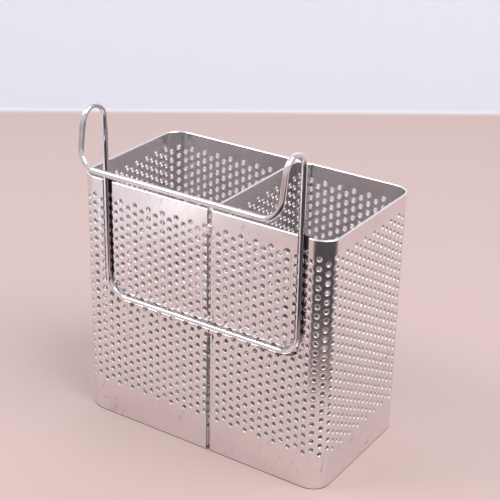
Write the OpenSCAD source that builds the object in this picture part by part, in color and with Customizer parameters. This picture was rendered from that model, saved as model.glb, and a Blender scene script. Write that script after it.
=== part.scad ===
// Two-compartment chopstick basket of perforated sheet with a wire rail hanger.
// One strip of sheet makes the four walls and turns in at the front seam to be the divider.
// Millimetres, +Z up, the wire side faces -Y.

/* [Body] */
// Outside width of the basket
body_w = 150; // [130:1:190]
// Outside depth of the basket
body_d = 82.5; // [70:0.5:110]
// Height of the walls
body_h = 138; // [115:1:180]
// Thickness of the sheet
sheet_t = 0.8; // [0.5:0.1:1.2]
// Outside radius of the upright corners
corner_r = 10; // [7:0.5:13]

/* [Seam and divider] */
// Width of the left front panel, up to its cut edge
seam_x = 80.6; // [70:0.2:88]
// Open gap between the cut edge and the sheet that turns in
seam_gap = 0.8; // [0.4:0.1:1.6]
// Outside radius of the sheet where it turns in
turn_r = 2.6; // [2:0.1:4]
// Width of the tab that holds the divider to the back wall
tab_w = 9; // [6:0.5:14]
// Gap between the tab and the back wall
tab_gap = 0.1; // [0:0.05:0.3]

/* [Perforation] */
// Diameter of the round holes
hole_d = 3; // [2:0.1:3.6]
// Distance between hole centres
hole_pitch = 5; // [4.6:0.1:7]
// Rim to the centre of the top row
top_margin = 9.6; // [8:0.1:20]
// Least distance from the bottom edge to the lowest row
bottom_margin = 20.9; // [16:0.1:40]
// Cut edge to the centre of the first column
edge_margin = 1.25; // [0.8:0.05:4]

/* [Floor pans] */
// Height of the upturned pan sides
pan_h = 12; // [8:0.5:15]
// Outside bend radius between pan floor and side
pan_bend = 1.8; // [1.5:0.1:3]
// Gap between a pan and the sheet around it
pan_gap = 0.15; // [0.1:0.05:0.3]
// Pan side to the nearest hole centre
pan_margin = 6; // [5:0.5:14]

/* [Wire hanger] */
// Diameter of the wire
wire_d = 3; // [2.5:0.1:3.6]
// Distance between the two uprights
wire_span = 116.5; // [100:0.5:122]
// Rim down to the bottom run of the wire
wire_drop = 65; // [55:0.5:90]
// Centreline bend radius at the ends of the bottom run
wire_bend_r = 11; // [9:0.5:15]
// Centreline radius of the hooks
hook_r = 8.2; // [6:0.1:10]
// Rim up to the top of the wire's centreline
hook_rise = 41.4; // [36:0.2:60]
// Front of the basket out to the rail's centre
rail_out = 18.5; // [16.5:0.5:26]
// Rim up to the rail's centre
rail_up = 12.8; // [8:0.2:16]
// Centreline bend radius where the legs meet the rail
rail_bend_r = 10; // [6:0.5:10]

/* [Groove] */
// Depth of the pressed groove that takes the wire
groove_depth = 3; // [2:0.1:3.6]
// Half width of the flat groove bottom
groove_half = 2.2; // [1.8:0.1:3]
// How much wider each side of the groove is at its mouth
groove_flare = 0.9; // [0.5:0.1:2]
// How far the wire lies to the left of and below the middle of its groove
wire_shift = 1; // [0:0.1:1.2]

/* [Hidden] */
$fn = 48;

// The sheet's developed length: columns of holes run on round every bend.
col = hole_pitch * sqrt(3) / 2;
arc_len = (corner_r - sheet_t / 2) * PI / 2;
flat_d = body_d - 2 * corner_r;
flat_w = body_w - 2 * corner_r;
div_x = seam_x + seam_gap;
run_left = seam_x - corner_r;
run_right = body_w - corner_r - div_x - turn_r;
s_fl = run_left;
s_left = s_fl + arc_len;
s_bl = s_left + flat_d;
s_back = s_bl + arc_len;
s_br = s_back + flat_w;
s_right = s_br + arc_len;
s_fr = s_right + flat_d;
s_front = s_fr + arc_len;
s_turn = s_front + run_right;
s_div = s_turn + (turn_r - sheet_t / 2) * PI / 2;
tab_r = sheet_t + 0.8;
back_in = body_d - sheet_t - tab_gap;
div_run = back_in - tab_r - turn_r;

// Wire: its centre lies so that it touches the bottom of the groove.
wire_y = groove_depth - wire_d / 2;
half_span = wire_span / 2;
wire_cx = body_w / 2;
run_z = body_h - wire_drop;
hook_z = body_h + hook_rise - hook_r;
// Hook centre to rail centre, seen from the side.
ly = -rail_out - (wire_y - hook_r);
lz = body_h + rail_up - hook_z;
ll = norm([ly, lz]);
hook_turn = 360 + atan2(lz, ly) - acos(hook_r / ll);
leg_len = sqrt(ll * ll - hook_r * hook_r) - rail_bend_r;
// How finely the wire is drawn: sides of its round section, steps along its bends.
wire_sides = 20;
bend_steps = 9;
hook_steps = 20;

// Groove: leaning sides, the same thickness throughout.
g_half = groove_half + groove_flare;
g_k = sheet_t * tan(atan2(groove_depth, groove_flare) / 2);
band = g_half + 1.2;
groove_cx = wire_cx + wire_shift;
groove_z = run_z + wire_shift;

// Lowest point of the whole thing is the bottom edge, its middle is the origin.
front_y = -rail_out - wire_d / 2;
mid_y = (front_y + body_d) / 2;

function row_z(j, odd) = body_h - top_margin - (j + (odd ? 0.5 : 0)) * hole_pitch;
function last_row(odd) =
    floor((body_h - top_margin - bottom_margin) / hole_pitch + 0.001 - (odd ? 0.5 : 0));
function first_col(a) = ceil((a - hole_d / 2 - edge_margin) / col);
function last_col(b) = floor((b + hole_d / 2 - edge_margin) / col);
function is_odd(k) = (k % 2) != 0;

// Hole centres [s, z] of a stretch of the strip from a to b.
function holes(a, b) = [
    for (k = [max(0, first_col(a)) : last_col(b)])
        for (j = [0 : last_row(is_odd(k))])
            [edge_margin + k * col, row_z(j, is_odd(k))]
];

// How far a point of the front face lies from the groove's middle line.
function path_gap(x, z) =
    let (u = abs(x - groove_cx), v = z - groove_z, e = half_span - wire_bend_r)
    v > wire_bend_r ? abs(u - half_span) :
    u < e ? abs(v) :
    abs(norm([u - e, v - wire_bend_r]) - wire_bend_r);

module place() {
    translate([-body_w / 2, -mid_y, 0]) children();
}

// A flat stretch of sheet: length along +X, height along +Z, outside at y = 0.
module flat_sheet(len, pts) {
    translate([0, sheet_t, 0])
        rotate([90, 0, 0])
            linear_extrude(sheet_t)
                difference() {
                    square([len, body_h]);
                    for (p = pts)
                        translate(p) circle(d = hole_d);
                }
}

// A quarter bend about the Z axis, from +X to +Y, with radial holes.
// Each point is [angle, height].
module bend_sheet(r, h, pts) {
    difference() {
        rotate_extrude(angle = 90, $fn = 96)
            translate([r - sheet_t, 0]) square([sheet_t, h]);
        for (p = pts)
            rotate([0, 0, p[0]])
                translate([r - 2 * sheet_t, 0, p[1]])
                    rotate([0, 90, 0])
                        cylinder(d = hole_d, h = 3 * sheet_t);
    }
}

// Angles of the holes on a bend that starts at s = a; turned from its far end.
function bend_pts(a, r) = [
    for (p = holes(a, a + (r - sheet_t / 2) * PI / 2))
        [90 - (p[0] - a) / (r - sheet_t / 2) * 180 / PI, p[1]]
];

// Cross section of the groove: across the wire and into the basket.
module groove_profile() {
    polygon([
        [-band, 0], [-g_half, 0],
        [-groove_half, groove_depth], [groove_half, groove_depth],
        [g_half, 0], [band, 0],
        [band, sheet_t], [g_half + g_k, sheet_t],
        [groove_half + g_k, groove_depth + sheet_t],
        [-groove_half - g_k, groove_depth + sheet_t],
        [-g_half - g_k, sheet_t], [-band, sheet_t]
    ]);
}

// The U-shaped strip of the front face that the groove takes up, in X and Z.
module band_outline() {
    for (side = [-1, 1])
        translate([groove_cx + side * half_span - band, groove_z + wire_bend_r])
            square([2 * band, body_h - groove_z - wire_bend_r + 1]);
    translate([groove_cx - half_span + wire_bend_r, groove_z - band])
        square([wire_span - 2 * wire_bend_r, 2 * band]);
    for (side = [0, 1])
        translate([groove_cx, groove_z + wire_bend_r])
            mirror([side, 0])
                translate([half_span - wire_bend_r, 0])
                    intersection() {
                        difference() {
                            circle(r = wire_bend_r + band, $fn = 96);
                            circle(r = wire_bend_r - band, $fn = 96);
                        }
                        translate([0, -2 * wire_bend_r])
                            square(2 * wire_bend_r);
                    }
}

// The pressed groove on the right half, from the middle out.
module groove_half_path(inner) {
    translate([groove_cx + half_span, 0, groove_z + wire_bend_r])
        linear_extrude(body_h - groove_z - wire_bend_r)
            groove_profile();
    translate([groove_cx + half_span - wire_bend_r, 0, groove_z + wire_bend_r])
        rotate([90, 0, 0])
            mirror([0, 0, 1])
                rotate([0, 0, -90])
                    rotate_extrude(angle = 90, $fn = 96)
                        translate([wire_bend_r, 0]) groove_profile();
    translate([groove_cx + inner, 0, groove_z])
        rotate([90, 0, 90])
            linear_extrude(half_span - wire_bend_r - inner)
                mirror([1, -1]) groove_profile();
}

// Holes through the pressed groove, straight in from the front.
module groove_drills(pts) {
    for (p = pts)
        if (path_gap(p[0], p[1]) < band + hole_d / 2)
            translate([p[0], -1, p[1]])
                rotate([-90, 0, 0])
                    cylinder(d = hole_d, h = groove_depth + sheet_t + 2);
}

// Front face between x = a and x = b, with its holes at pts ([x, z]).
module front_plate(a, b, pts) {
    translate([0, sheet_t, 0])
        rotate([90, 0, 0])
            linear_extrude(sheet_t)
                difference() {
                    translate([a, 0]) square([b - a, body_h]);
                    band_outline();
                    for (p = pts)
                        translate(p) circle(d = hole_d);
                }
}

left_pts = [
    for (p = holes(0, s_fl)) [seam_x - p[0], p[1]]
];
right_pts = [
    for (p = holes(s_front, s_turn)) [body_w - corner_r - (p[0] - s_front), p[1]]
];

module front_left_panel() {
    color([0.84, 0.80, 0.79]) place() {
        front_plate(corner_r, seam_x, left_pts);
        difference() {
            translate([2 * groove_cx, 0, 0])
                mirror([1, 0, 0])
                    groove_half_path(groove_cx - seam_x);
            groove_drills(left_pts);
        }
    }
}

module front_right_panel() {
    color([0.84, 0.80, 0.79]) place() {
        front_plate(div_x + turn_r, body_w - corner_r, right_pts);
        difference() {
            groove_half_path(div_x - groove_cx);
            groove_drills(right_pts);
        }
    }
}

module left_wall() {
    pts = [for (p = holes(s_left, s_bl)) [flat_d - (p[0] - s_left), p[1]]];
    color([0.80, 0.77, 0.77]) place()
        translate([0, body_d - corner_r, 0])
            rotate([0, 0, -90])
                flat_sheet(flat_d, pts);
}

module back_wall() {
    pts = [for (p = holes(s_back, s_br)) [flat_w - (p[0] - s_back), p[1]]];
    color([0.78, 0.75, 0.75]) place()
        translate([body_w - corner_r, body_d, 0])
            rotate([0, 0, 180])
                flat_sheet(flat_w, pts);
}

module right_wall() {
    pts = [for (p = holes(s_right, s_fr)) [flat_d - (p[0] - s_right), p[1]]];
    color([0.80, 0.77, 0.77]) place()
        translate([body_w, corner_r, 0])
            rotate([0, 0, 90])
                flat_sheet(flat_d, pts);
}

module corner_front_left() {
    color([0.82, 0.79, 0.79]) place()
        translate([corner_r, corner_r, 0])
            rotate([0, 0, 180])
                bend_sheet(corner_r, body_h, bend_pts(s_fl, corner_r));
}

module corner_back_left() {
    color([0.82, 0.79, 0.79]) place()
        translate([corner_r, body_d - corner_r, 0])
            rotate([0, 0, 90])
                bend_sheet(corner_r, body_h, bend_pts(s_bl, corner_r));
}

module corner_back_right() {
    color([0.82, 0.79, 0.79]) place()
        translate([body_w - corner_r, body_d - corner_r, 0])
            bend_sheet(corner_r, body_h, bend_pts(s_br, corner_r));
}

module corner_front_right() {
    color([0.82, 0.79, 0.79]) place()
        translate([body_w - corner_r, corner_r, 0])
            rotate([0, 0, -90])
                bend_sheet(corner_r, body_h, bend_pts(s_fr, corner_r));
}

// The divider turns in at the seam, runs to the back wall and ends in a tab.
module divider() {
    pts = [for (p = holes(s_div, s_div + div_run)) [p[0] - s_div, p[1]]];
    color([0.78, 0.76, 0.77]) place()
        difference() {
            union() {
                translate([div_x + turn_r, turn_r, 0])
                    rotate([0, 0, 180])
                        bend_sheet(turn_r, body_h, turn_pts);
                translate([div_x, turn_r + div_run, 0])
                    rotate([0, 0, -90])
                        mirror_sheet(div_run, pts);
                translate([div_x + tab_r, back_in - tab_r, 0])
                    rotate([0, 0, 90])
                        bend_sheet(tab_r, body_h, []);
                translate([div_x + tab_r, back_in - sheet_t, 0])
                    cube([tab_w - tab_r, sheet_t, body_h]);
            }
            // Room for the groove, which passes in front of the divider.
            translate([div_x - 1, 0, groove_z])
                rotate([90, 0, 90])
                    linear_extrude(turn_r + 2)
                        divider_notch();
        }
}

// Outline of the groove's back, continued out past the front face.
module divider_notch() {
    lean = groove_flare / groove_depth;
    polygon([
        [-1, -g_half - g_k - (1 + sheet_t) * lean],
        [groove_depth + sheet_t, -groove_half - g_k],
        [groove_depth + sheet_t, groove_half + g_k],
        [-1, g_half + g_k + (1 + sheet_t) * lean]
    ]);
}

turn_pts = [for (p = bend_pts(s_turn, turn_r)) [90 - p[0] , p[1]]];

// A flat stretch whose first hole column lies at its far end.
module mirror_sheet(len, pts) {
    flat_sheet(len, [for (p = pts) [len - p[0], p[1]]]);
}

// A shallow pan w by d with its corner at the origin and four corner radii.
module pan(w, d, rs) {
    cs = [[0, 0, 180], [w, 0, 270], [w, d, 0], [0, d, 90]];
    mx = [1, -1, -1, 1];
    my = [1, 1, -1, -1];
    // Floor.
    difference() {
        linear_extrude(sheet_t)
            pan_floor(w, d, rs);
        for (p = pan_holes(w, d))
            translate([p[0], p[1], -1]) cylinder(d = hole_d, h = sheet_t + 2);
    }
    // Corners.
    for (i = [0 : 3])
        translate([cs[i][0] + mx[i] * rs[i], cs[i][1] + my[i] * rs[i], 0])
            rotate([0, 0, cs[i][2]])
                rotate_extrude(angle = 90)
                    translate([rs[i], 0]) pan_side();
    // Straight sides.
    translate([rs[0], 0, 0]) rotate([90, 0, 90]) linear_extrude(w - rs[0] - rs[1])
        mirror([1, 0]) pan_side();
    translate([w, rs[1], 0]) rotate([90, 0, 180]) linear_extrude(d - rs[1] - rs[2])
        mirror([1, 0]) pan_side();
    translate([w - rs[2], d, 0]) rotate([90, 0, -90]) linear_extrude(w - rs[2] - rs[3])
        mirror([1, 0]) pan_side();
    translate([0, d - rs[3], 0]) rotate([90, 0, 0]) linear_extrude(d - rs[3] - rs[0])
        mirror([1, 0]) pan_side();
}

// Cross section of a pan side, its outside at x = 0 and the pan at x < 0.
module pan_side() {
    translate([-sheet_t, pan_bend]) square([sheet_t, pan_h - pan_bend]);
    translate([-pan_bend, pan_bend])
        intersection() {
            difference() {
                circle(r = pan_bend);
                circle(r = pan_bend - sheet_t);
            }
            translate([0, -2 * pan_bend]) square(2 * pan_bend);
        }
}

// The flat floor inside the bends.
module pan_floor(w, d, rs) {
    b = pan_bend;
    difference() {
        translate([b, b]) square([w - 2 * b, d - 2 * b]);
        corner_bite(b, b, rs[0] - b, 1, 1);
        corner_bite(w - b, b, rs[1] - b, -1, 1);
        corner_bite(w - b, d - b, rs[2] - b, -1, -1);
        corner_bite(b, d - b, rs[3] - b, 1, -1);
    }
}

// Takes a square corner away outside radius r.
module corner_bite(x, y, r, sx, sy) {
    if (r > 0)
        translate([x, y])
            scale([sx, sy])
                difference() {
                    translate([-1, -1]) square(r + 1);
                    translate([r, r]) circle(r = r);
                }
}

function pan_holes(w, d) =
    let (
        nx = floor((w - 2 * pan_margin) / col),
        ny = floor((d - 2 * pan_margin) / hole_pitch),
        ox = (w - nx * col) / 2,
        oy = (d - ny * hole_pitch) / 2
    )
    [
        for (i = [0 : nx])
            for (j = [0 : ny - (i % 2)])
                [ox + i * col, oy + (j + (i % 2) / 2) * hole_pitch]
    ];

pan_r = corner_r - sheet_t - pan_gap;
pan_d = back_in + tab_gap - sheet_t - 2 * pan_gap;

module base_pan_left() {
    w = div_x - sheet_t - 2 * pan_gap;
    color([0.76, 0.74, 0.74]) place()
        translate([sheet_t + pan_gap, sheet_t + pan_gap, 0])
            pan(w, pan_d, [pan_r, pan_bend, pan_bend, pan_r]);
}

module base_pan_right() {
    x0 = div_x + sheet_t + pan_gap;
    w = body_w - sheet_t - pan_gap - x0;
    d = pan_d - sheet_t - tab_gap;
    color([0.76, 0.74, 0.74]) place()
        translate([x0, sheet_t + pan_gap, 0])
            pan(w, d, [max(pan_bend, turn_r - sheet_t - pan_gap), pan_r, pan_r, pan_bend]);
}

// One side of the wire: lower bend, upright, hook, leg, rail bend and half the rail.
// The hook is a ring cut at its top, so its front half can lean with the leg.
// Each station of the wire is its centre, its direction and the way to the first point of its ring.
function low_bend(a) =
    [[half_span - wire_bend_r + wire_bend_r * cos(a), wire_y, run_z + wire_bend_r + wire_bend_r * sin(a)],
     [-sin(a), 0, cos(a)], [0, 1, 0]];
function hook_bend(a) =
    [[half_span, wire_y - hook_r + hook_r * cos(a), hook_z + hook_r * sin(a)],
     [0, -sin(a), cos(a)], [0, cos(a), sin(a)]];
leg_way = hook_bend(hook_turn)[1];
leg_side = hook_bend(hook_turn)[2];
leg_end = hook_bend(hook_turn)[0] + leg_len * leg_way;
function rail_bend(a) =
    [leg_end + [rail_bend_r * (cos(a) - 1), 0, 0] + rail_bend_r * sin(a) * leg_way,
     [-sin(a), 0, 0] + cos(a) * leg_way, leg_side];
half_wire = [
    for (i = [0 : bend_steps]) low_bend(-90 + 90 * i / bend_steps),
    for (i = [0 : hook_steps]) hook_bend(hook_turn * i / hook_steps),
    for (i = [0 : bend_steps]) rail_bend(90 * i / bend_steps)
];
half_count = len(half_wire);
function other_side(s) =
    [[-s[0][0], s[0][1], s[0][2]], [s[1][0], -s[1][1], -s[1][2]], s[2]];
wire_path = [
    for (s = half_wire) s,
    for (i = [half_count - 1 : -1 : 0]) other_side(half_wire[i])
];

module hanger_wire() {
    count = len(wire_path);
    pts = [
        for (s = wire_path)
            for (k = [0 : wire_sides - 1])
                let (a = 360 * k / wire_sides)
                    s[0] + wire_d / 2 * (cos(a) * s[2] + sin(a) * cross(s[1], s[2]))
    ];
    tris = [
        for (i = [0 : count - 1])
            for (k = [0 : wire_sides - 1])
                let (
                    j = (i + 1) % count,
                    l = (k + 1) % wire_sides,
                    p = i * wire_sides + k,
                    q = j * wire_sides + k,
                    r = j * wire_sides + l,
                    t = i * wire_sides + l
                )
                    each [[p, q, r], [p, r, t]]
    ];
    color([0.93, 0.93, 0.94]) place()
        translate([wire_cx, 0, 0]) polyhedron(points = pts, faces = tris);
}

front_left_panel();
front_right_panel();
left_wall();
back_wall();
right_wall();
corner_front_left();
corner_back_left();
corner_back_right();
corner_front_right();
divider();
base_pan_left();
base_pan_right();
hanger_wire();
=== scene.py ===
# Looks for a two-compartment chopstick basket: brushed perforated sheet, polished wire hanger.
import bmesh
import bpy
import math
from mathutils import Matrix, Vector


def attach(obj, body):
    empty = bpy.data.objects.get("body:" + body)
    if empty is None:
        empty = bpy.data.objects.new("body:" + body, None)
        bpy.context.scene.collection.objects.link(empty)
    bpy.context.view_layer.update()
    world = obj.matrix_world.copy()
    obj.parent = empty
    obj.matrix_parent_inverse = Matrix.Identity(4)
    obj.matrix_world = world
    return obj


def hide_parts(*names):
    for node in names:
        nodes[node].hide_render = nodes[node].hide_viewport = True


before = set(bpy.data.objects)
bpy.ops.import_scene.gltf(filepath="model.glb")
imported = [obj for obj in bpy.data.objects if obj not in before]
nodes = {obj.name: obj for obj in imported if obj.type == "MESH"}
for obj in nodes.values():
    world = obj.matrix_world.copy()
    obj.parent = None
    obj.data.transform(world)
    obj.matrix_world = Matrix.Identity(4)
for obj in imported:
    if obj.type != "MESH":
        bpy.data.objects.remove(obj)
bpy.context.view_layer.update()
print("frame loaded:", len(nodes), "nodes")

mm = 0.001
# the basket's body in the shared frame, in millimetres
body = {"frontFace": -31.25, "top": 138.0, "cornerRadius": 10.0, "sheetMiddleRadius": 9.6}
# the punched pattern: columns along the strip of sheet, every other one half a pitch lower
holes = {"column": 4.3301, "first": 1.25, "pitch": 5.0, "topRow": 128.4, "rows": 22, "radius": 1.5}

# the sheet as one strip: each stretch's start and end along it, where on the basket it starts
# (a corner has its centre) and the way it runs (a corner has the way from its centre to its start)
stretches = {
    "front_left_panel": {"start": 0.0, "end": 70.6, "slot": "sheet_front",
                         "origin": (5.6, -31.25), "way": (-1, 0)},
    "corner_front_left": {"start": 70.6, "end": 85.680, "slot": "sheet_corner",
                          "origin": (-65.0, -21.25), "way": (0, -1)},
    "left_wall": {"start": 85.680, "end": 148.180, "slot": "sheet_side",
                  "origin": (-75.0, -21.25), "way": (0, 1)},
    "corner_back_left": {"start": 148.180, "end": 163.259, "slot": "sheet_corner",
                         "origin": (-65.0, 41.25), "way": (-1, 0)},
    "back_wall": {"start": 163.259, "end": 293.259, "slot": "sheet_side",
                  "origin": (-65.0, 51.25), "way": (1, 0)},
    "corner_back_right": {"start": 293.259, "end": 308.339, "slot": "sheet_corner",
                          "origin": (65.0, 41.25), "way": (0, 1)},
    "right_wall": {"start": 308.339, "end": 370.839, "slot": "sheet_side",
                   "origin": (75.0, 41.25), "way": (0, -1)},
    "corner_front_right": {"start": 370.839, "end": 385.918, "slot": "sheet_corner",
                           "origin": (65.0, -21.25), "way": (1, 0)},
    "front_right_panel": {"start": 385.918, "end": 441.918, "slot": "sheet_front",
                          "origin": (65.0, -31.25), "way": (-1, 0)},
    "divider": {"start": 445.374, "end": 522.7, "slot": "sheet_inner",
                "origin": (6.4, -28.65), "way": (0, 1)},
}


# small helpers for shader trees (no shaders inside groups)

def newGroup(name, inputs, outputs):
    group = bpy.data.node_groups.new(name, "ShaderNodeTree")
    for label, kind, value in inputs:
        socket = group.interface.new_socket(label, in_out="INPUT", socket_type=kind)
        if value is not None:
            socket.default_value = value
    for label, kind in outputs:
        group.interface.new_socket(label, in_out="OUTPUT", socket_type=kind)
    enter = group.nodes.new("NodeGroupInput")
    leave = group.nodes.new("NodeGroupOutput")
    return group, enter.outputs, leave.inputs


def useGroup(tree, group, **values):
    node = tree.nodes.new("ShaderNodeGroup")
    node.node_tree = group
    for label, value in values.items():
        feed(tree, node.inputs[label], value)
    return node.outputs


def feed(tree, socket, value):
    if isinstance(value, bpy.types.NodeSocket):
        tree.links.new(value, socket)
    elif value is not None:
        socket.default_value = value


def calc(tree, operation, a, b=None, c=None):
    node = tree.nodes.new("ShaderNodeMath")
    node.operation = operation
    for socket, value in zip(node.inputs, (a, b, c)):
        feed(tree, socket, value)
    return node.outputs[0]


def ramp(tree, value, fromMin, fromMax, toMin=0.0, toMax=1.0, smooth=True):
    node = tree.nodes.new("ShaderNodeMapRange")
    node.interpolation_type = "SMOOTHSTEP" if smooth else "LINEAR"
    for label, v in (("Value", value), ("From Min", fromMin), ("From Max", fromMax),
                     ("To Min", toMin), ("To Max", toMax)):
        feed(tree, node.inputs[label], v)
    return node.outputs["Result"]


def blendColour(tree, factor, a, b):
    node = tree.nodes.new("ShaderNodeMix")
    node.data_type = "RGBA"
    feed(tree, node.inputs[0], factor)
    feed(tree, node.inputs[6], a)
    feed(tree, node.inputs[7], b)
    return node.outputs[2]


def noise(tree, vector, scale, detail=3.0, roughness=0.55, distortion=0.0):
    node = tree.nodes.new("ShaderNodeTexNoise")
    feed(tree, node.inputs["Vector"], vector)
    node.inputs["Scale"].default_value = scale
    node.inputs["Detail"].default_value = detail
    node.inputs["Roughness"].default_value = roughness
    node.inputs["Distortion"].default_value = distortion
    return node.outputs["Fac"]


def vectorOf(tree, x, y, z):
    node = tree.nodes.new("ShaderNodeCombineXYZ")
    for socket, value in zip(node.inputs, (x, y, z)):
        feed(tree, socket, value)
    return node.outputs[0]


def millimetres(tree):
    coords = tree.nodes.new("ShaderNodeTexCoord").outputs["Object"]
    split = tree.nodes.new("ShaderNodeSeparateXYZ")
    tree.links.new(coords, split.inputs[0])
    return [calc(tree, "MULTIPLY", split.outputs[i], 1000.0) for i in range(3)]


# small helpers for meshes and pieces

def extruded(shape, edges):
    # the new verts, and the new edges that join them
    made = bmesh.ops.extrude_edge_only(shape, edges=edges)["geom"]
    verts = [g for g in made if isinstance(g, bmesh.types.BMVert)]
    kept = set(verts)
    return verts, [g for g in made if isinstance(g, bmesh.types.BMEdge) and set(g.verts) <= kept]


def straight(shape, edges, way):
    verts, edges = extruded(shape, edges)
    bmesh.ops.translate(shape, verts=verts, vec=way)
    return edges


def bend(shape, edges, centre, axis, degrees, steps):
    last = bmesh.ops.spin(shape, geom=edges, cent=centre, axis=axis, dvec=(0, 0, 0),
                          angle=math.radians(degrees), steps=steps,
                          use_merge=False, use_duplicate=False)["geom_last"]
    return [g for g in last if isinstance(g, bmesh.types.BMEdge)]


def meshFrom(shape, name, smooth=True):
    for face in shape.faces:
        face.smooth = smooth
    mesh = bpy.data.meshes.new(name)
    shape.to_mesh(mesh)
    shape.free()
    return mesh


def mergedCopy(name):
    # a node's mesh is loose triangles; the copy's corners are joined
    mesh = nodes[name].data.copy()
    shape = bmesh.new()
    shape.from_mesh(mesh)
    bmesh.ops.remove_doubles(shape, verts=shape.verts, dist=0.002 * mm)
    shape.to_mesh(mesh)
    shape.free()
    return mesh


def dress(obj, material):
    if len(obj.material_slots) == 0:
        obj.data.materials.append(material)
    for holder in obj.material_slots:
        holder.material = material


def finishPiece(name, mesh, slotName, *replaced):
    piece = bpy.data.objects.new(name, mesh)
    bpy.context.scene.collection.objects.link(piece)
    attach(piece, "root")
    if replaced:
        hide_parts(*replaced)
    return piece


# shader groups shared by the finishes

def makeFlatPlace():
    # where a point is on the developed strip of sheet: Along it and Up it, in millimetres
    group, enter, leave = newGroup(
        "flatPlace",
        [("Per X", "NodeSocketFloat", 1.0), ("Per Y", "NodeSocketFloat", 0.0),
         ("Start", "NodeSocketFloat", 0.0)],
        [("Along", "NodeSocketFloat"), ("Up", "NodeSocketFloat")])
    x, y, z = millimetres(group)
    along = calc(group, "MULTIPLY_ADD", x, enter["Per X"], enter["Start"])
    along = calc(group, "MULTIPLY_ADD", y, enter["Per Y"], along)
    group.links.new(along, leave["Along"])
    group.links.new(z, leave["Up"])
    return group


def makeCornerPlace():
    # the same round an upright corner, from the way it starts in
    group, enter, leave = newGroup(
        "cornerPlace",
        [("Centre X", "NodeSocketFloat", 0.0), ("Centre Y", "NodeSocketFloat", 0.0),
         ("Start Way X", "NodeSocketFloat", 0.0), ("Start Way Y", "NodeSocketFloat", -1.0),
         ("Start", "NodeSocketFloat", 0.0),
         ("Radius", "NodeSocketFloat", body["sheetMiddleRadius"])],
        [("Along", "NodeSocketFloat"), ("Up", "NodeSocketFloat")])
    x, y, z = millimetres(group)
    dx = calc(group, "SUBTRACT", x, enter["Centre X"])
    dy = calc(group, "SUBTRACT", y, enter["Centre Y"])
    a = calc(group, "MULTIPLY", dx, enter["Start Way X"])
    a = calc(group, "MULTIPLY_ADD", dy, enter["Start Way Y"], a)
    b = calc(group, "MULTIPLY", dx, enter["Start Way Y"])
    c = calc(group, "MULTIPLY", dy, enter["Start Way X"])
    b = calc(group, "SUBTRACT", b, c)
    turn = calc(group, "ARCTAN2", b, a)
    along = calc(group, "MULTIPLY_ADD", turn, enter["Radius"], enter["Start"])
    group.links.new(along, leave["Along"])
    group.links.new(z, leave["Up"])
    return group


def makeHoleRim():
    # the drawn-in lip round each punched hole, from the staggered rows of holes
    group, enter, leave = newGroup(
        "holeRim",
        [("Along", "NodeSocketFloat", 0.0), ("Up", "NodeSocketFloat", 0.0),
         ("Hole Radius", "NodeSocketFloat", holes["radius"]), ("Lip", "NodeSocketFloat", 0.5)],
        [("Height", "NodeSocketFloat"), ("Ring", "NodeSocketFloat")])
    column, halfPitch = holes["column"], holes["pitch"] / 2
    halfTall = holes["pitch"] * (holes["rows"] - 1) / 2
    away = []
    # two sets of columns, the second half a pitch lower; no hole is near beyond the rows
    for turn in (0, 1):
        topRow = holes["topRow"] - halfPitch * turn
        dx = calc(group, "SUBTRACT", enter["Along"], holes["first"] + column * turn)
        dx = calc(group, "WRAP", dx, column, -column)
        dz = calc(group, "SUBTRACT", enter["Up"], topRow)
        dz = calc(group, "WRAP", dz, halfPitch, -halfPitch)
        d = calc(group, "MULTIPLY_ADD", dx, dx, calc(group, "MULTIPLY", dz, dz))
        d = calc(group, "SQRT", d)
        inRows = calc(group, "COMPARE", enter["Up"], topRow - halfTall, halfTall + halfPitch - 0.1)
        outside = calc(group, "SUBTRACT", 1.0, inRows)
        away.append(calc(group, "MULTIPLY_ADD", outside, 20.0, d))
    d = calc(group, "MINIMUM", away[0], away[1])
    edge = calc(group, "SUBTRACT", d, enter["Hole Radius"])
    share = calc(group, "DIVIDE", edge, enter["Lip"])  # of the lip's width
    group.links.new(ramp(group, share, -0.2, 1.0), leave["Height"])
    group.links.new(ramp(group, share, 0.35, 0.85, 1.0, 0.0), leave["Ring"])
    return group


def makeBrushedGrain():
    # fine upright brushing, with a slower unevenness over it
    group, enter, leave = newGroup(
        "brushedGrain",
        [("Along", "NodeSocketFloat", 0.0), ("Up", "NodeSocketFloat", 0.0),
         ("Fineness", "NodeSocketFloat", 3.0), ("Stretch", "NodeSocketFloat", 0.05)],
        [("Shade", "NodeSocketFloat"), ("Cloud", "NodeSocketFloat"), ("Height", "NodeSocketFloat")])
    across = calc(group, "MULTIPLY", enter["Along"], enter["Fineness"])
    lengthwise = calc(group, "MULTIPLY", enter["Up"], enter["Fineness"])
    lengthwise = calc(group, "MULTIPLY", lengthwise, enter["Stretch"])
    grain = noise(group, vectorOf(group, across, 0.0, lengthwise), scale=1.0, detail=4.0,
                  roughness=0.6)
    cloud = noise(group, vectorOf(group, enter["Along"], 3.0, enter["Up"]), scale=0.035, detail=3.0,
                  roughness=0.5, distortion=0.6)
    group.links.new(ramp(group, grain, 0.3, 0.7, smooth=False), leave["Shade"])
    group.links.new(ramp(group, cloud, 0.35, 0.65), leave["Cloud"])
    group.links.new(grain, leave["Height"])
    return group


# leaning marks of handling: how each kind is drawn out along and up the sheet, which slice of
# the noise it takes, and the noise values between which it fades in
rubSpec = {
    "lean": 0.35,
    "Smear": {"drawnOut": (1.0, 0.3), "slice": 7.0, "fade": (0.58, 0.75),
              "noise": {"scale": 0.16, "detail": 4.0, "roughness": 0.6, "distortion": 1.2}},
    "Scratch": {"drawnOut": (0.35, 2.4), "slice": 11.0, "fade": (0.66, 0.72),
                "noise": {"scale": 0.35, "detail": 2.0, "roughness": 0.5, "distortion": 0.4}},
}


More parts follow.
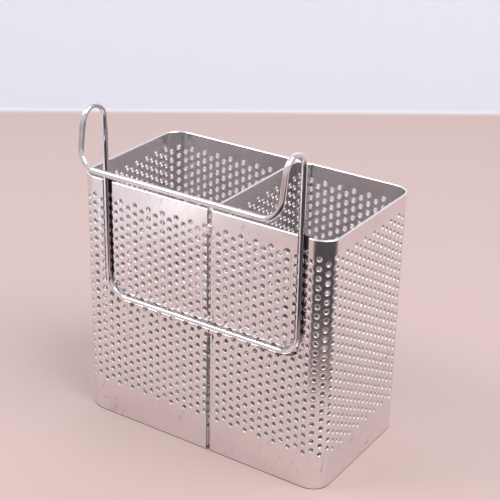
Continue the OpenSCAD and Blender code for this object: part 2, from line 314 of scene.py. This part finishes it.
def makeRubMarks():
    # faint long smears and short scratches left by handling
    group, enter, leave = newGroup(
        "rubMarks",
        [("Along", "NodeSocketFloat", 0.0), ("Up", "NodeSocketFloat", 0.0),
         ("Amount", "NodeSocketFloat", 0.5)],
        [("Smear", "NodeSocketFloat"), ("Scratch", "NodeSocketFloat")])
    slant = calc(group, "MULTIPLY_ADD", enter["Up"], rubSpec["lean"], enter["Along"])
    for label in ("Smear", "Scratch"):
        mark = rubSpec[label]
        across = calc(group, "MULTIPLY", slant, mark["drawnOut"][0])
        lengthwise = calc(group, "MULTIPLY", enter["Up"], mark["drawnOut"][1])
        strokes = noise(group, vectorOf(group, across, mark["slice"], lengthwise), **mark["noise"])
        shown = calc(group, "MULTIPLY", ramp(group, strokes, *mark["fade"]), enter["Amount"])
        group.links.new(shown, leave[label])
    return group


flatPlace = makeFlatPlace()
cornerPlace = makeCornerPlace()
holeRim = makeHoleRim()
brushedGrain = makeBrushedGrain()
rubMarks = makeRubMarks()
print("shader groups made")

sheetFinish = {
    "colour": (0.87, 0.84, 0.85, 1.0),
    "shade": (0.75, 0.72, 0.73, 1.0),       # between the brush lines
    "shadeShare": (0.35, 0.75),             # least and most, as the cloud goes
    "lipPolishAndHighlightColour": (0.90, 0.88, 0.885, 1.0),  # polished by the punch, and lightened as a painted highlight
    "markColour": (0.58, 0.53, 0.53, 1.0),
    "marks": 0.9,                           # how much handling shows
    "roughness": 0.18,
    "grainRough": 0.08,                     # added by the grain, smears and lips
    "smearRough": 0.12,
    "lipRough": -0.14,
    "grainDepth": 0.004,                    # bump depths, millimetres
    "lipDepth": 0.05,
    "scratchBand": (12.0, 40.0),            # heights between which scratches grow faint
    "scratchDepth": (-0.4, -0.06),          # as shares of the grain's
    # painted highlight: a bright line just below the top edge
    "rimHighlightColour": (0.96, 0.93, 0.93, 1.0),
    "edgeBand": (0.7, 0.4),                 # below the top, where its colour fades in
    "edgeRound": 0.35,                      # the deburred top edge, and how far down it starts
    "edgeRoundFrom": 0.55,
    "footShadowColour": (0.20, 0.16, 0.15, 1.0),  # painted shadow: a dark line along the lower edge, where it stands on the floor
    "footShadowBand": (0.25, 0.6),
    # painted shade and dark reflection in the uprights' grooves
    "grooveShadeColour": (0.24, 0.21, 0.22, 1.0),
}

# the pressed groove that the wire lies in, and how far the press drew the sheet aside;
# a pair is where it is full and where it has faded out, in millimetres
groove = {
    "middle": 1.0,
    "z": 74.0,
    "half": 58.25,
    "bend": 11.0,
    "clear": 4.6,                           # holes closer to its middle line have no lip
    "drawn": (0.9, 0.6),                    # to the right and up
    "reach": (5.0, 8.5),                    # from the middle line
    "rim": (126.0, 136.0),                  # heights; the rim and the sides stay where they are
    "sides": (62.0, 65.0),
    # where the painted shade and dark reflection in the uprights' grooves lie
    "grooveShadeBand": (3.9, 4.4),                   # from the middle line of an upright's groove
    "grooveShadeDepth": (0.45, 0.05),              # behind the front face
    "grooveShadeHeight": (86.0, 80.0),             # above the lower bends
}


def principled(name):
    material = bpy.data.materials.new(name)
    material.use_nodes = True
    shader = material.node_tree.nodes["Principled BSDF"]
    return material, material.node_tree, shader


def finishMetal(tree, shader, colour, rough, normal):
    shader.inputs["Metallic"].default_value = 1.0
    for label, socket in (("Base Color", colour), ("Roughness", rough), ("Normal", normal)):
        tree.links.new(socket, shader.inputs[label])


def bump(tree, height, distance, normal=None):
    node = tree.nodes.new("ShaderNodeBump")
    node.inputs["Strength"].default_value = 1.0
    node.inputs["Distance"].default_value = distance * mm
    feed(tree, node.inputs["Height"], height)
    feed(tree, node.inputs["Normal"], normal)
    return node.outputs["Normal"]


def paintedGrooveShade(tree):
    # painted shade and painted dark reflection in the uprights' grooves, behind the wire
    x, y, z = millimetres(tree)
    across = calc(tree, "SUBTRACT", x, groove["middle"] + groove["drawn"][0])
    across = calc(tree, "SUBTRACT", calc(tree, "ABSOLUTE", across), groove["half"])
    band = ramp(tree, calc(tree, "ABSOLUTE", across), *groove["grooveShadeBand"], 1.0, 0.0)
    deepest, mouth = groove["grooveShadeDepth"]
    deep = ramp(tree, y, body["frontFace"] + mouth, body["frontFace"] + deepest)
    full, none = groove["grooveShadeHeight"]
    return calc(tree, "MULTIPLY", calc(tree, "MULTIPLY", band, deep), ramp(tree, z, none, full))


def makeSheet(name, placeGroup, placing):
    look, top = sheetFinish, body["top"]
    material, tree, shader = principled("sheet_" + name)
    where = useGroup(tree, placeGroup, **placing)
    along, up = where["Along"], where["Up"]
    rim = useGroup(tree, holeRim, Along=along, Up=up)
    grain = useGroup(tree, brushedGrain, Along=along, Up=up)
    marks = useGroup(tree, rubMarks, Along=along, Up=up, Amount=look["marks"])

    cloud = ramp(tree, grain["Cloud"], 0.0, 1.0, *look["shadeShare"])
    colour = blendColour(tree, calc(tree, "MULTIPLY", grain["Shade"], cloud), look["colour"],
                         look["shade"])
    colour = blendColour(tree, marks["Smear"], colour, look["markColour"])
    # the lighter lip round each hole: polish, and a painted highlight
    colour = blendColour(tree, rim["Ring"], colour, look["lipPolishAndHighlightColour"])
    # painted highlight along the top edge
    edge = ramp(tree, up, *(top - below for below in look["edgeBand"]))
    colour = blendColour(tree, edge, colour, look["rimHighlightColour"])
    # painted shadow along the lower edge
    foot = ramp(tree, up, *look["footShadowBand"], 1.0, 0.0)
    colour = blendColour(tree, foot, colour, look["footShadowColour"])
    # painted shade and dark reflection in the grooves of the front panels
    if name.startswith("front"):
        colour = blendColour(tree, paintedGrooveShade(tree), colour, look["grooveShadeColour"])

    rough = calc(tree, "MULTIPLY_ADD", grain["Shade"], look["grainRough"], look["roughness"])
    rough = calc(tree, "MULTIPLY_ADD", marks["Smear"], look["smearRough"], rough)
    rough = calc(tree, "MULTIPLY_ADD", rim["Ring"], look["lipRough"], rough)

    # scratches show most on the plain margin at the foot
    deep = ramp(tree, up, *look["scratchBand"], *look["scratchDepth"])
    fine = calc(tree, "ADD", grain["Height"], calc(tree, "MULTIPLY", marks["Scratch"], deep))
    rounded = ramp(tree, up, top - look["edgeRoundFrom"], top, 1.0, 0.0)
    normal = bump(tree, rounded, look["edgeRound"])
    normal = bump(tree, rim["Height"], look["lipDepth"], normal)
    normal = bump(tree, fine, look["grainDepth"], normal)
    finishMetal(tree, shader, colour, rough, normal)
    return material


def grooveGap(x, z):
    # how far a point of the front face lies from the middle of the wire's groove
    u, v = abs(x - groove["middle"]), z - groove["z"]
    inner = groove["half"] - groove["bend"]
    if v > groove["bend"]:
        return abs(u - groove["half"])
    if u < inner:
        return abs(v)
    return abs(math.hypot(u - inner, v - groove["bend"]) - groove["bend"])


def faded(value, full, none):
    return min(max((none - value) / (none - full), 0.0), 1.0)


def drawnAside(place):
    # the groove and the sheet close to it sit a little right of and above the wire
    x, z = place.x / mm, place.z / mm
    share = faded(grooveGap(x, z), *groove["reach"])
    share = share * share * (3 - 2 * share)
    up = share * faded(z, *groove["rim"])
    side = share * faded(abs(x), *groove["sides"])
    right, above = groove["drawn"]
    return Vector((place.x + right * side * mm, place.y, place.z + above * up * mm))


def isCorner(name):
    return name.startswith("corner")


for name, stretch in stretches.items():
    if isCorner(name):
        continue
    (x, y), (wayX, wayY) = stretch["origin"], stretch["way"]
    placing = {"Per X": wayX, "Per Y": wayY, "Start": stretch["start"] - x * wayX - y * wayY}
    material = makeSheet(name, flatPlace, placing)
    dress(nodes[name], material)
    if name.startswith("front"):
        mesh = mergedCopy(name)
        for vert in mesh.vertices:
            vert.co = drawnAside(vert.co)
        dress(finishPiece("grooved_" + name, mesh, stretch["slot"], name), material)
print("flat stretches of the sheet finished")


# upright corners: the same solids, shaded as true rounds
faceOn = 0.93                               # least cosine to the spoke; other faces are cut edges


def roundedCopy(name):
    mesh = mergedCopy(name)
    x, y = stretches[name]["origin"]
    centre = Vector((x * mm, y * mm, 0))
    mesh.polygons.foreach_set("use_smooth", [True] * len(mesh.polygons))
    normals = [None] * len(mesh.loops)
    for face in mesh.polygons:
        middle = face.center - centre
        outward = Vector((middle.x, middle.y, 0)).normalized()
        facing = face.normal.dot(outward)
        for index in face.loop_indices:
            if abs(facing) > faceOn:
                spoke = mesh.vertices[mesh.loops[index].vertex_index].co - centre
                spoke = Vector((spoke.x, spoke.y, 0)).normalized()
                normals[index] = spoke if facing > 0 else -spoke
            else:
                normals[index] = face.normal.copy()
    mesh.normals_split_custom_set(normals)
    return finishPiece(name.replace("corner_", "sheetCorner_"), mesh, stretches[name]["slot"], name)


for name, stretch in stretches.items():
    if not isCorner(name):
        continue
    piece = roundedCopy(name)
    (x, y), (wayX, wayY) = stretch["origin"], stretch["way"]
    material = makeSheet(name, cornerPlace, {"Centre X": x, "Centre Y": y, "Start Way X": wayX,
                                             "Start Way Y": wayY, "Start": stretch["start"]})
    piece.data.materials.clear()
    dress(piece, material)
    dress(nodes[name], material)
print("corners rounded")


# drawn-in lips of the punched holes, one piece for each stretch of the sheet
lipSpec = {
    "segments": 12,
    # radius and depth below the outer face
    "section": ((1.53, 0.01), (1.28, 0.16), (1.08, 0.55), (1.14, 1.08), (1.38, 1.20), (1.64, 0.79)),
    "bentIn": 0.15,                         # how far a lip may run past a corner's ends, radians
    "colour": (0.76, 0.72, 0.73, 1.0),
    "cloudBand": (0.4, 0.7),                # where the sheet's own colour shows
    "roughness": 0.23,
    "cloudRough": 0.12,
    "unevenness": 0.02,                     # bump depth, millimetres
}


def lipRing():
    shape = bmesh.new()
    section = lipSpec["section"]
    bmesh.ops.create_circle(shape, cap_ends=False, radius=section[0][0] * mm,
                            segments=lipSpec["segments"])
    bmesh.ops.translate(shape, verts=shape.verts, vec=(0, 0, -section[0][1] * mm))
    edges = list(shape.edges)
    for (before, lastDepth), (radius, depth) in zip(section, section[1:]):
        verts, edges = extruded(shape, edges)
        share = radius / before
        bmesh.ops.scale(shape, verts=verts, vec=(share, share, 1))
        bmesh.ops.translate(shape, verts=verts, vec=(0, 0, (lastDepth - depth) * mm))
    bmesh.ops.recalc_face_normals(shape, faces=shape.faces)
    # an open ring has no inside: the first band must face out through the hole
    shape.faces.ensure_lookup_table()
    if shape.faces[0].normal.z < 0:
        bmesh.ops.reverse_faces(shape, faces=shape.faces)
    return meshFrom(shape, "lipRing")


def onSheet(name, s, up, depth):
    # a place on the strip, that far up and that deep below its outer face, in metres
    stretch = stretches[name]
    origin = Vector((*stretch["origin"], 0))
    way = Vector((*stretch["way"], 0))
    past = s - stretch["start"]
    if isCorner(name):
        turn = min(max(past / body["sheetMiddleRadius"], -lipSpec["bentIn"]),
                   math.pi / 2 + lipSpec["bentIn"])
        place = origin + Matrix.Rotation(-turn, 3, "Z") @ way * (body["cornerRadius"] - depth)
    else:
        # past its ends the sheet starts to bend inwards
        over = max(-past, s - stretch["end"], 0.0)
        depth += over * over / (2 * body["cornerRadius"]) if name != "divider" else 0.0
        out = Vector((-way.y, way.x, 0))
        place = origin + way * past - out * depth
    return Vector((place.x, place.y, up)) * mm


def holePlaces(name):
    start, end = stretches[name]["start"], stretches[name]["end"]
    first, column = holes["first"], holes["column"]
    k = max(0, math.ceil((start - first) / column))
    while first + k * column < end:
        for row in range(holes["rows"]):
            lower = row + (0.5 if k % 2 else 0.0)
            yield first + k * column, holes["topRow"] - holes["pitch"] * lower
        k += 1


def makeLips(name, material):
    ring = lipRing()
    shape = bmesh.new()
    onFront = name.startswith("front")
    count = 0
    for s, z in holePlaces(name):
        middle = onSheet(name, s, z, 0.0)
        if onFront and grooveGap(middle.x / mm, z) < groove["clear"]:
            continue
        copy = ring.copy()
        for vert in copy.vertices:
            u, v, w = vert.co / mm
            place = onSheet(name, s - u, z + v, -w)
            vert.co = drawnAside(place) if onFront else place
        shape.from_mesh(copy)
        bpy.data.meshes.remove(copy)
        count += 1
    mesh = meshFrom(shape, "holeLips_" + name)
    bpy.data.meshes.remove(ring)
    piece = finishPiece("holeLips_" + name, mesh, stretches[name]["slot"])
    piece.data.materials.append(material)
    return count


def makeLipMetal():
    material, tree, shader = principled("punchedLip")
    place = vectorOf(tree, *millimetres(tree))
    cloud = noise(tree, place, scale=0.5, detail=3.0, roughness=0.6)
    colour = blendColour(tree, ramp(tree, cloud, *lipSpec["cloudBand"]), lipSpec["colour"],
                         sheetFinish["colour"])
    rough = calc(tree, "MULTIPLY_ADD", cloud, lipSpec["cloudRough"], lipSpec["roughness"])
    lumps = noise(tree, place, scale=3.0, detail=2.0, roughness=0.6)
    normal = bump(tree, lumps, lipSpec["unevenness"])
    finishMetal(tree, shader, colour, rough, normal)
    return material


punchedLip = makeLipMetal()
lipCount = sum(makeLips(name, punchedLip) for name in stretches)
print("hole lips made:", lipCount)


# floor pans

panFinish = {
    "colour": (0.72, 0.70, 0.69, 1.0),
    "shade": (0.60, 0.58, 0.57, 1.0),
    "shadeShare": 0.6,
    "fineness": 2.5,
    "roughness": 0.34,
    "cloudRough": 0.1,
    "grainDepth": 0.01,                     # millimetres
}


def makePanMetal():
    material, tree, shader = principled("panSteel")
    x, y, z = millimetres(tree)
    look = panFinish
    grain = useGroup(tree, brushedGrain, Along=y, Up=x, Fineness=look["fineness"])
    uneven = calc(tree, "MULTIPLY", grain["Shade"], look["shadeShare"])
    colour = blendColour(tree, uneven, look["colour"], look["shade"])
    rough = calc(tree, "MULTIPLY_ADD", grain["Cloud"], look["cloudRough"], look["roughness"])
    finishMetal(tree, shader, colour, rough, bump(tree, grain["Height"], look["grainDepth"]))
    return material


panSteel = makePanMetal()
for name in ("base_pan_left", "base_pan_right"):
    dress(nodes[name], panSteel)
print("floor pans finished")


# wire hanger: one closed loop of round wire

wireSpec = {
    # the wire and its path, in millimetres; it stays inside the solid wire
    "path": {
        "diameter": 2.96,
        "span": 116.5,
        "wireY": -29.75,
        "lowZ": 73.0,
        "lowBend": 11.0,
        "hookRadius": 8.2,
        "hookZ": 171.2,
        "railY": -49.75,
        "railZ": 150.8,
        "railBend": 10.0,
    },
    "sides": 32,
    "bendSteps": 14,
    "hookSteps": 32,
    "colour": (0.87, 0.86, 0.865, 1.0),
    "dull": (0.74, 0.73, 0.735, 1.0),
    "wornBand": (0.45, 0.75),
    "roughness": 0.05,
    "wornRough": 0.07,
    "unevenness": 0.008,                    # bump depth, millimetres
}


def makeHangerWire():
    w = {label: value * mm for label, value in wireSpec["path"].items()}
    half, lowHalf = w["span"] / 2, w["span"] / 2 - w["lowBend"]
    low, hookY = w["lowZ"] + w["lowBend"], w["wireY"] - w["hookRadius"]
    # the leg leaves the hook on the tangent that meets the rail's own bend
    across, drop = w["railY"] - hookY, w["railZ"] - w["hookZ"]
    reach = math.hypot(across, drop)
    turn = 2 * math.pi + math.atan2(drop, across) - math.acos(w["hookRadius"] / reach)
    leg = math.sqrt(reach ** 2 - w["hookRadius"] ** 2) - w["railBend"]
    way = Vector((0, -math.sin(turn), math.cos(turn)))
    hookEnd = Vector((half, hookY + w["hookRadius"] * math.cos(turn),
                      w["hookZ"] + w["hookRadius"] * math.sin(turn)))
    legEnd = hookEnd + way * leg
    side = Vector((0, -way.z, way.y))
    turn = math.degrees(turn)
    steps, hookSteps = wireSpec["bendSteps"], wireSpec["hookSteps"]

    shape = bmesh.new()
    start = Matrix.Translation((0, w["wireY"], w["lowZ"])) @ Matrix.Rotation(math.pi / 2, 4, "Y")
    bmesh.ops.create_circle(shape, cap_ends=False, radius=w["diameter"] / 2,
                            segments=wireSpec["sides"], matrix=start)
    # from the middle of the low run to the right, and once round
    ring = list(shape.edges)
    ring = straight(shape, ring, (lowHalf, 0, 0))
    ring = bend(shape, ring, (lowHalf, w["wireY"], low), (0, -1, 0), 90, steps)
    ring = straight(shape, ring, (0, 0, w["hookZ"] - low))
    ring = bend(shape, ring, (half, hookY, w["hookZ"]), (1, 0, 0), turn, hookSteps)
    ring = straight(shape, ring, way * leg)
    ring = bend(shape, ring, legEnd + Vector((-w["railBend"], 0, 0)), side, 90, steps)
    ring = straight(shape, ring, (-2 * (half - w["railBend"]), 0, 0))
    ring = bend(shape, ring, (-half + w["railBend"], legEnd.y, legEnd.z), side, 90, steps)
    ring = straight(shape, ring, -way * leg)
    ring = bend(shape, ring, (-half, hookY, w["hookZ"]), (-1, 0, 0), turn, hookSteps)
    ring = straight(shape, ring, (0, 0, low - w["hookZ"]))
    ring = bend(shape, ring, (-lowHalf, w["wireY"], low), (0, -1, 0), 90, steps)
    straight(shape, ring, (lowHalf, 0, 0))
    bmesh.ops.remove_doubles(shape, verts=shape.verts, dist=0.01 * mm)
    bmesh.ops.recalc_face_normals(shape, faces=shape.faces)
    return finishPiece("hangerWire", meshFrom(shape, "hangerWire"), "wire", "hanger_wire")


def makeWireMetal():
    look = wireSpec
    material, tree, shader = principled("polishedWire")
    place = vectorOf(tree, *millimetres(tree))
    cloud = noise(tree, place, scale=0.12, detail=3.0, roughness=0.6)
    worn = ramp(tree, cloud, *look["wornBand"])
    colour = blendColour(tree, worn, look["colour"], look["dull"])
    rough = calc(tree, "MULTIPLY_ADD", worn, look["wornRough"], look["roughness"])
    specks = noise(tree, place, scale=1.6, detail=2.0, roughness=0.6)
    finishMetal(tree, shader, colour, rough, bump(tree, specks, look["unevenness"]))
    return material


hangerWire = makeHangerWire()
hangerWire.data.materials.append(makeWireMetal())
dress(nodes["hanger_wire"], hangerWire.data.materials[0])
print("wire hanger made:", len(hangerWire.data.polygons), "faces")


# tack weld that bridges the front seam under the rim

weldSpec = {
    "x": 6.6,
    "z": 127.4,
    "wide": 3.4,
    "tall": 5.2,
    "proud": 0.8,
    "sunk": 0.1,                            # its middle behind the front face
    "ripples": 11,                          # how close they are, and how much they widen and
    "rippleWide": 0.10,                     # raise the bead
    "rippleProud": 0.18,
    "rippleShift": 0.6,
    "lumps": (7, 4),                        # slower unevenness, across and up
    "lumpWide": 0.06,
    "colour": (0.97, 0.96, 0.97, 1.0),
    "edge": (0.74, 0.70, 0.69, 1.0),
    "edgeBand": (0.45, 0.7),
    "roughness": 0.1,
    "lumpRough": 0.2,
    "lumpDepth": 0.15,
}


def makeTackWeld():
    weld = weldSpec
    shape = bmesh.new()
    bmesh.ops.create_icosphere(shape, subdivisions=4, radius=1.0)
    across, up = weld["lumps"]
    for vert in shape.verts:
        p = vert.co
        wave = p.z * weld["ripples"]
        lump = math.sin(p.x * across + p.z * up)
        p.x *= 1 + weld["rippleWide"] * math.sin(wave) + weld["lumpWide"] * lump
        p.y *= 1 + weld["rippleProud"] * math.sin(wave + weld["rippleShift"])
    size = (weld["wide"] / 2 * mm, weld["proud"] * mm, weld["tall"] / 2 * mm)
    place = (weld["x"] * mm, (body["frontFace"] + weld["sunk"]) * mm, weld["z"] * mm)
    bmesh.ops.scale(shape, verts=shape.verts, vec=size)
    bmesh.ops.translate(shape, verts=shape.verts, vec=place)
    return finishPiece("tackWeld", meshFrom(shape, "tackWeld"), "wire")


def makeWeldMetal():
    look = weldSpec
    material, tree, shader = principled("weldMetal")
    place = vectorOf(tree, *millimetres(tree))
    lumps = noise(tree, place, scale=0.9, detail=3.0, roughness=0.6)
    colour = blendColour(tree, ramp(tree, lumps, *look["edgeBand"]), look["colour"], look["edge"])
    rough = calc(tree, "MULTIPLY_ADD", lumps, look["lumpRough"], look["roughness"])
    finishMetal(tree, shader, colour, rough, bump(tree, lumps, look["lumpDepth"]))
    return material


tackWeld = makeTackWeld()
tackWeld.data.materials.append(makeWeldMetal())
print("tack weld made")


# floor and wall, cards, lights, camera

stageSpec = {
    "floorColour": (0.58, 0.44, 0.415, 1.0),
    "wallColour": (0.84, 0.90, 1.0, 1.0),
    "roughness": 0.8,
    "wallAway": 0.5052,                     # metres
    "wallTurn": 35.49,                      # degrees
    "wallTall": 3.0,
    "floorReach": 4.0,
    "coveRadius": 0.006,
    "coveSteps": 8,
    "colourTurn": (1.0, 5.0),               # heights where floor turns to wall, millimetres
    "cardRoughness": 0.9,
    "cardSteps": 24,
}
# each card is part of a flat ring that lies on the floor and is seen only in the metal: its
# centre, near and far radius and height in metres, and the turn it spans in degrees
cornerSpot, seamSpot = (0.07, -0.03), (-0.03, -0.03)
cards = {
    "darkCard": {"colour": (0.022, 0.018, 0.024, 1.0), "centre": cornerSpot, "near": 0.15,
                 "far": 0.80, "turn": (-108, 17), "height": 0.003, "glow": 0.0},
    "brownCard": {"colour": (0.22, 0.155, 0.135, 1.0), "centre": cornerSpot, "near": 0.10,
                  "far": 0.85, "turn": (-115, 27), "height": 0.002, "glow": 0.0},
    "paleCard": {"colour": (0.66, 0.60, 0.61, 1.0), "centre": cornerSpot, "near": 0.34,
                 "far": 0.60, "turn": (-160, -122), "height": 0.002, "glow": 0.0},
    "glowCard": {"colour": (1.0, 0.98, 1.0, 1.0), "centre": seamSpot, "near": 0.274,
                 "far": 0.36, "turn": (-126, -119.4), "height": 0.004, "glow": 0.8},
}
lightSpec = {
    "worldStrength": 0.72,
    "worldLow": (0.78, 0.78, 0.80, 1.0),
    "worldHigh": (1.0, 1.0, 1.0, 1.0),
    "worldRise": (0.0, 0.9),                # between the two, from the horizon up
    "aim": (0, 0, 0.05),
    # where each lamp is, how wide, and its power
    "lamps": {"key": ((-0.75, -0.55, 1.15), 0.6, 5.5), "fill": ((0.72, -0.05, 1.2), 1.0, 10.5)},
}
cameraSpec = {
    "lens": 92.356,                         # millimetres
    "sensor": 36.0,
    "place": (0.33310, -0.49611, 0.38373),
    "degrees": (64.8206, -1.0783, 33.5486),
}


def addStage(name, mesh, material, onlyMirrored=False):
    obj = bpy.data.objects.new(name, mesh)
    bpy.context.scene.collection.objects.link(obj)
    obj.data.materials.append(material)
    if onlyMirrored:
        obj.visible_camera = False
        obj.visible_diffuse = False
        obj.visible_shadow = False


def makeStage():
    # floor and wall are one sweep, square to the view
    shape = bmesh.new()
    away, cove, far = stageSpec["wallAway"], stageSpec["coveRadius"], stageSpec["floorReach"]
    edges = [shape.edges.new([shape.verts.new((side, -far, 0)) for side in (-far, far)])]
    edges = straight(shape, edges, (0, far + away - cove, 0))
    edges = bend(shape, edges, (0, away - cove, cove), (1, 0, 0), 90, stageSpec["coveSteps"])
    straight(shape, edges, (0, 0, stageSpec["wallTall"]))
    bmesh.ops.rotate(shape, verts=shape.verts, cent=(0, 0, 0),
                     matrix=Matrix.Rotation(math.radians(stageSpec["wallTurn"]), 3, "Z"))
    shape.faces.ensure_lookup_table()
    if shape.faces[0].normal.z < 0:
        bmesh.ops.reverse_faces(shape, faces=shape.faces)
    addStage("studioSweep", meshFrom(shape, "studioSweep", smooth=False), makeStagePaint())


def makeStagePaint():
    material, tree, shader = principled("studioPale")
    x, y, z = millimetres(tree)
    colour = blendColour(tree, ramp(tree, z, *stageSpec["colourTurn"]), stageSpec["floorColour"],
                         stageSpec["wallColour"])
    tree.links.new(colour, shader.inputs["Base Color"])
    shader.inputs["Roughness"].default_value = stageSpec["roughness"]
    # a camera behind the wall looks through it
    clear = tree.nodes.new("ShaderNodeBsdfTransparent")
    mix = tree.nodes.new("ShaderNodeMixShader")
    seen = tree.nodes.new("ShaderNodeLightPath").outputs["Is Camera Ray"]
    behind = tree.nodes.new("ShaderNodeNewGeometry").outputs["Backfacing"]
    tree.links.new(calc(tree, "MULTIPLY", seen, behind), mix.inputs[0])
    tree.links.new(shader.outputs[0], mix.inputs[1])
    tree.links.new(clear.outputs[0], mix.inputs[2])
    tree.links.new(mix.outputs[0], tree.nodes["Material Output"].inputs["Surface"])
    return material


def makeCard(name, spec):
    x, y = spec["centre"]
    height, (fromTurn, toTurn) = spec["height"], spec["turn"]
    shape = bmesh.new()
    ends = [shape.verts.new((x + reach, y, height)) for reach in (spec["near"], spec["far"])]
    edge = shape.edges.new(ends)
    bmesh.ops.rotate(shape, verts=shape.verts, cent=(x, y, 0),
                     matrix=Matrix.Rotation(math.radians(fromTurn), 3, "Z"))
    bend(shape, [edge], (x, y, height), (0, 0, 1), toTurn - fromTurn, stageSpec["cardSteps"])
    material, tree, shader = principled(name)
    for label in ("Base Color", "Emission Color"):
        shader.inputs[label].default_value = spec["colour"]
    shader.inputs["Roughness"].default_value = stageSpec["cardRoughness"]
    shader.inputs["Emission Strength"].default_value = spec["glow"]
    addStage(name, meshFrom(shape, name, smooth=False), material, onlyMirrored=True)


def makeLights():
    world = bpy.data.worlds.new("studio")
    bpy.context.scene.world = world
    world.use_nodes = True
    tree = world.node_tree
    background = tree.nodes["Background"]
    way = tree.nodes.new("ShaderNodeTexCoord").outputs["Generated"]
    split = tree.nodes.new("ShaderNodeSeparateXYZ")
    tree.links.new(way, split.inputs[0])
    colour = blendColour(tree, ramp(tree, split.outputs[2], *lightSpec["worldRise"]),
                         lightSpec["worldLow"], lightSpec["worldHigh"])
    tree.links.new(colour, background.inputs["Color"])
    background.inputs["Strength"].default_value = lightSpec["worldStrength"]
    for name, (place, size, energy) in lightSpec["lamps"].items():
        light = bpy.data.lights.new(name, "AREA")
        light.shape = "DISK"
        light.size = size
        light.energy = energy
        lamp = bpy.data.objects.new(name, light)
        bpy.context.scene.collection.objects.link(lamp)
        lamp.location = place
        aim = Vector(lightSpec["aim"]) - lamp.location
        lamp.rotation_euler = aim.to_track_quat("-Z", "Y").to_euler()


def makeCamera():
    data = bpy.data.cameras.new("camera")
    data.lens = cameraSpec["lens"]
    data.sensor_width = cameraSpec["sensor"]
    camera = bpy.data.objects.new("camera", data)
    bpy.context.scene.collection.objects.link(camera)
    camera.location = cameraSpec["place"]
    camera.rotation_euler = [math.radians(a) for a in cameraSpec["degrees"]]
    bpy.context.scene.camera = camera


makeStage()
for name, spec in cards.items():
    makeCard(name, spec)
makeLights()
makeCamera()
bpy.context.scene.view_settings.view_transform = "Standard"
print("stage, lights and camera set")
